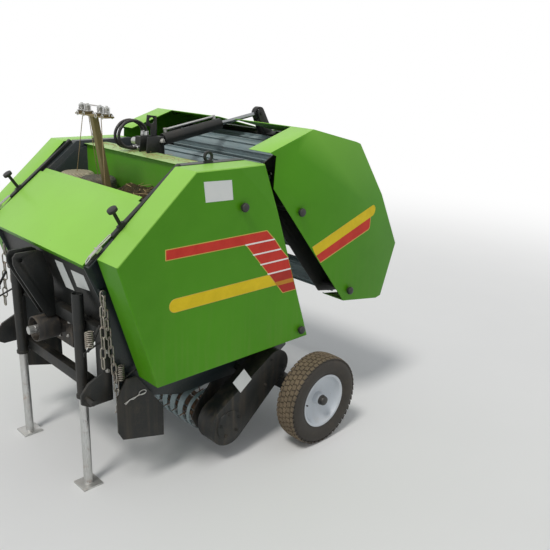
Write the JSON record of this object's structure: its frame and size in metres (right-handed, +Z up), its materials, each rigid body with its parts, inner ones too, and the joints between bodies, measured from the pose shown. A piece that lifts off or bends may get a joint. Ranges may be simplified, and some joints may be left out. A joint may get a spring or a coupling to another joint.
{
  "type": "round baler",
  "caption": "Mini round baler for a compact tractor: roller bale chamber with a swinging tailgate, tined pickup, twine box with hood, three-point hitch and two ground wheels.",
  "frame": {"origin": "on the floor, under the middle of the overall box with the tailgate as modelled", "axes": "+X forward to the tractor, +Y left, +Z up"},
  "size_m": [1.7714, 1.434, 1.544],
  "materials": {
    "green": "sunlit green gloss paint, dusty",
    "light_green": "green gloss paint",
    "black": "black paint, dusty",
    "roller_steel": "grey worn steel",
    "bright_steel": "zinc plated steel",
    "chrome": "chrome plated",
    "cast": "painted cast iron",
    "worn_steel": "dusty worn steel",
    "rim": "silver grey paint",
    "tyre": "dusty rubber",
    "hose": "black rubber",
    "twine": "wound sisal twine",
    "post": "weathered tan paint"
  },
  "bodies": {
    "frame": {"side_plate_left": "black", "side_plate_right": "black", "axle": "black", "hitch_posts": "black", "hitch_beams": "black", "top_mast": "black", "leg_sleeves": "black", "front_plate": "black", "link_cheeks": "black", "cover_front_left": "green", "cover_front_right": "green", "twine_box": "green", "top_beam": "black", "twine_post": "post", "twine_balls": "twine", "twine_strands": "twine", "rail_fittings": "black", "hanging_chains": "bright_steel", "hydraulic_hose": "hose", "hose_fittings": "bright_steel", "gearbox": "cast", "drive_tube": "cast", "pickup_sides": "black", "pickup_bands": "roller_steel", "pickup_drive_cover": "black"},
    "hood": {"hood": "light_green"},
    "leg_left": {"leg_left": "bright_steel"},
    "leg_right": {"leg_right": "bright_steel"},
    "input_shaft": {"input_shaft": "bright_steel"},
    "pickup_reel": {"pickup_reel": "worn_steel"},
    "wheel_left": {"rim_left": "rim", "tyre_left": "tyre"},
    "wheel_right": {"rim_right": "rim", "tyre_right": "tyre"},
    "barrel": {"cylinder_barrel": "black"},
    "rod": {"cylinder_rod": "chrome"},
    "tailgate": {"gate_frame": "black", "cover_gate_left": "green", "cover_gate_right": "green", "gate_panel": "green"},
    "front_roller_1": {"front_roller_1": "roller_steel"},
    "front_roller_2": {"front_roller_2": "roller_steel"},
    "front_roller_3": {"front_roller_3": "roller_steel"},
    "front_roller_4": {"front_roller_4": "roller_steel"},
    "front_roller_5": {"front_roller_5": "roller_steel"},
    "gate_roller_1": {"gate_roller_1": "roller_steel"},
    "gate_roller_2": {"gate_roller_2": "roller_steel"},
    "gate_roller_3": {"gate_roller_3": "roller_steel"},
    "gate_roller_4": {"gate_roller_4": "roller_steel"},
    "gate_roller_5": {"gate_roller_5": "roller_steel"},
    "gate_roller_6": {"gate_roller_6": "roller_steel"},
    "gate_roller_7": {"gate_roller_7": "roller_steel"},
    "gate_roller_8": {"gate_roller_8": "roller_steel"}
  },
  "joints": [
    {"name": "tailgate_hinge", "type": "hinge", "parent": "frame", "child": "tailgate", "pos_m": [-0.03228, 0, 1.245], "axis": [0, 1, 0], "range_deg": [-20, 25]},
    {"name": "wheel_left_spin", "type": "hinge", "parent": "frame", "child": "wheel_left", "pos_m": [-0.25428, 0.656, 0.218], "axis": [0, 1, 0], "continuous": true},
    {"name": "wheel_right_spin", "type": "hinge", "parent": "frame", "child": "wheel_right", "pos_m": [-0.25428, -0.656, 0.218], "axis": [0, 1, 0], "continuous": true},
    {"name": "input_spin", "type": "hinge", "parent": "frame", "child": "input_shaft", "pos_m": [0.74572, 0, 0.635], "axis": [1, 0, 0], "continuous": true},
    {"name": "pickup_spin", "type": "hinge", "parent": "frame", "child": "pickup_reel", "pos_m": [0.19572, 0, 0.19], "axis": [0, 1, 0], "continuous": true},
    {"name": "hood_hinge", "type": "hinge", "parent": "frame", "child": "hood", "pos_m": [0.51573, 0, 1.21277], "axis": [0, -1, 0], "range_deg": [0, 85]},
    {"name": "leg_left_slide", "type": "slide", "parent": "frame", "child": "leg_left", "axis": [0, 0, 1], "range_m": [0, 0.25]},
    {"name": "leg_right_slide", "type": "slide", "parent": "frame", "child": "leg_right", "axis": [0, 0, 1], "range_m": [0, 0.25]},
    {"name": "barrel_hinge", "type": "hinge", "parent": "frame", "child": "barrel", "pos_m": [0.17872, 0, 1.379], "axis": [0, 1, 0], "range_deg": [-14.2, 17.7]},
    {"name": "rod_slide", "type": "slide", "parent": "barrel", "child": "rod", "axis": [-0.9843, 0, 0.1763], "range_m": [-0.0765, 0.0615]},
    {"name": "front_roller_1_spin", "type": "hinge", "parent": "frame", "child": "front_roller_1", "pos_m": [0.05284, 0, 1.15642], "axis": [0, 1, 0], "continuous": true},
    {"name": "front_roller_2_spin", "type": "hinge", "parent": "frame", "child": "front_roller_2", "pos_m": [0.15524, 0, 1.02535], "axis": [0, 1, 0], "continuous": true},
    {"name": "front_roller_3_spin", "type": "hinge", "parent": "frame", "child": "front_roller_3", "pos_m": [0.19548, 0, 0.86396], "axis": [0, 1, 0], "continuous": true},
    {"name": "front_roller_4_spin", "type": "hinge", "parent": "frame", "child": "front_roller_4", "pos_m": [0.1666, 0, 0.70016], "axis": [0, 1, 0], "continuous": true},
    {"name": "front_roller_5_spin", "type": "hinge", "parent": "frame", "child": "front_roller_5", "pos_m": [-0.14861, 0, 0.45389], "axis": [0, 1, 0], "continuous": true},
    {"name": "gate_roller_1_spin", "type": "hinge", "parent": "tailgate", "child": "gate_roller_1", "pos_m": [-0.09389, 0, 1.25626], "axis": [0, 1, 0], "continuous": true},
    {"name": "gate_roller_2_spin", "type": "hinge", "parent": "tailgate", "child": "gate_roller_2", "pos_m": [-0.24584, 0, 1.32391], "axis": [0, 1, 0], "continuous": true},
    {"name": "gate_roller_3_spin", "type": "hinge", "parent": "tailgate", "child": "gate_roller_3", "pos_m": [-0.41217, 0, 1.32391], "axis": [0, 1, 0], "continuous": true},
    {"name": "gate_roller_4_spin", "type": "hinge", "parent": "tailgate", "child": "gate_roller_4", "pos_m": [-0.56412, 0, 1.25626], "axis": [0, 1, 0], "continuous": true},
    {"name": "gate_roller_5_spin", "type": "hinge", "parent": "tailgate", "child": "gate_roller_5", "pos_m": [-0.67541, 0, 1.13265], "axis": [0, 1, 0], "continuous": true},
    {"name": "gate_roller_6_spin", "type": "hinge", "parent": "tailgate", "child": "gate_roller_6", "pos_m": [-0.72681, 0, 0.97446], "axis": [0, 1, 0], "continuous": true},
    {"name": "gate_roller_7_spin", "type": "hinge", "parent": "tailgate", "child": "gate_roller_7", "pos_m": [-0.70942, 0, 0.80904], "axis": [0, 1, 0], "continuous": true},
    {"name": "gate_roller_8_spin", "type": "hinge", "parent": "tailgate", "child": "gate_roller_8", "pos_m": [-0.62626, 0, 0.665], "axis": [0, 1, 0], "continuous": true}
  ],
  "couplings": [
    {"joint": "barrel_hinge", "follows": "tailgate_hinge", "ratio": 0.702},
    {"joint": "rod_slide", "follows": "tailgate_hinge", "m_per_rad": -0.174},
    {"joint": "pickup_spin", "follows": "input_spin", "ratio": 0.25},
    {"joint": "front_roller_1_spin", "follows": "input_spin", "ratio": -0.3},
    {"joint": "front_roller_2_spin", "follows": "input_spin", "ratio": -0.3},
    {"joint": "front_roller_3_spin", "follows": "input_spin", "ratio": -0.3},
    {"joint": "front_roller_4_spin", "follows": "input_spin", "ratio": -0.3},
    {"joint": "front_roller_5_spin", "follows": "input_spin", "ratio": -0.3},
    {"joint": "gate_roller_1_spin", "follows": "input_spin", "ratio": -0.3},
    {"joint": "gate_roller_2_spin", "follows": "input_spin", "ratio": -0.3},
    {"joint": "gate_roller_3_spin", "follows": "input_spin", "ratio": -0.3},
    {"joint": "gate_roller_4_spin", "follows": "input_spin", "ratio": -0.3},
    {"joint": "gate_roller_5_spin", "follows": "input_spin", "ratio": -0.3},
    {"joint": "gate_roller_6_spin", "follows": "input_spin", "ratio": -0.3},
    {"joint": "gate_roller_7_spin", "follows": "input_spin", "ratio": -0.3},
    {"joint": "gate_roller_8_spin", "follows": "input_spin", "ratio": -0.3}
  ]
}
